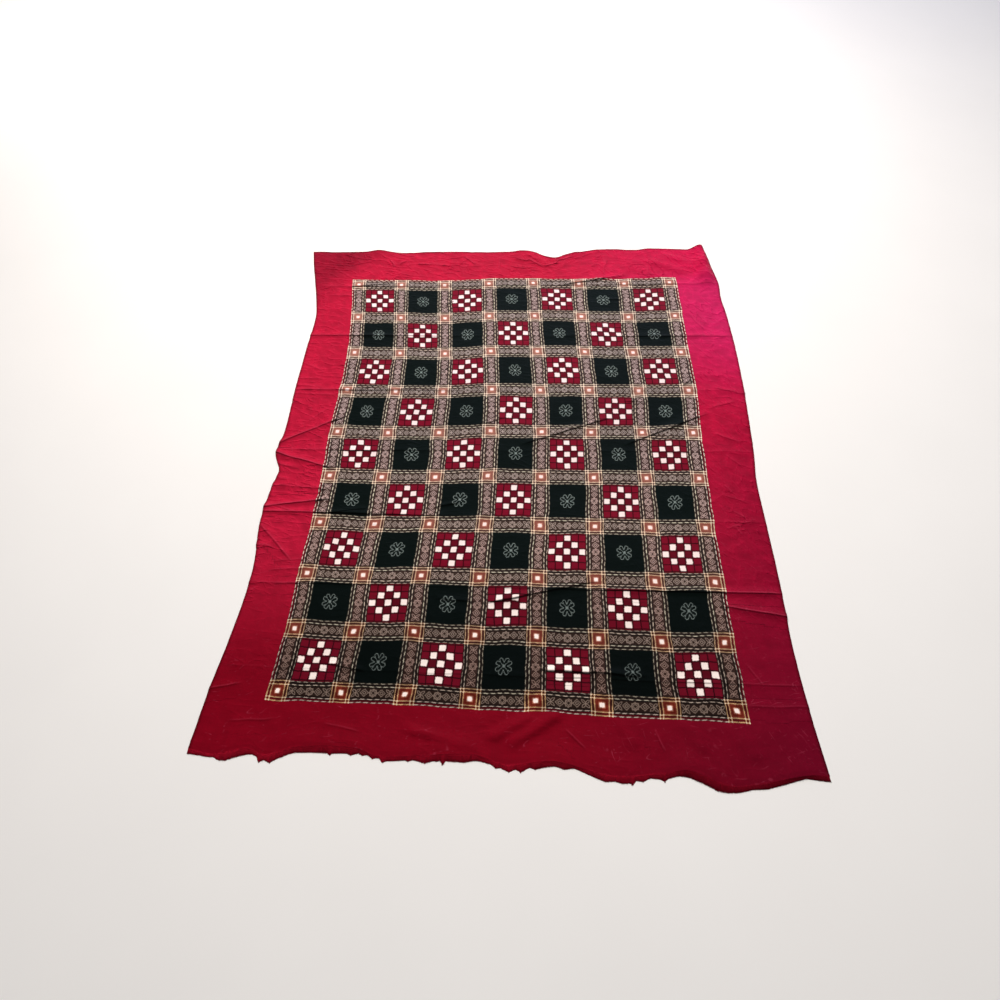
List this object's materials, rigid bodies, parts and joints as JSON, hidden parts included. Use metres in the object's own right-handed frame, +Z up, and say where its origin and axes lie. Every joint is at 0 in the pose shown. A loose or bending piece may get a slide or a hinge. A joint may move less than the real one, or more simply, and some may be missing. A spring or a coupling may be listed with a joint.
{
  "type": "ikat coverlet",
  "caption": "Spread cotton coverlet in a dice-and-flower double-ikat check with plain crimson borders, lying in soft storage folds with a short matted fringe at one end",
  "frame": {"origin": "on the floor, under the middle of the outline as laid", "axes": "+Z up off the floor, +Y along the length to the plain far end, +X across to the right seen from the fringed near end"},
  "size_m": [1.924, 2.3524, 0.0314],
  "materials": {
    "cloth": "plain-woven double-ikat cotton, matt",
    "fringe": "matted cotton warp ends, matt"
  },
  "bodies": {
    "root": {"cloth": "cloth", "fringe": "fringe"}
  },
  "joints": []
}
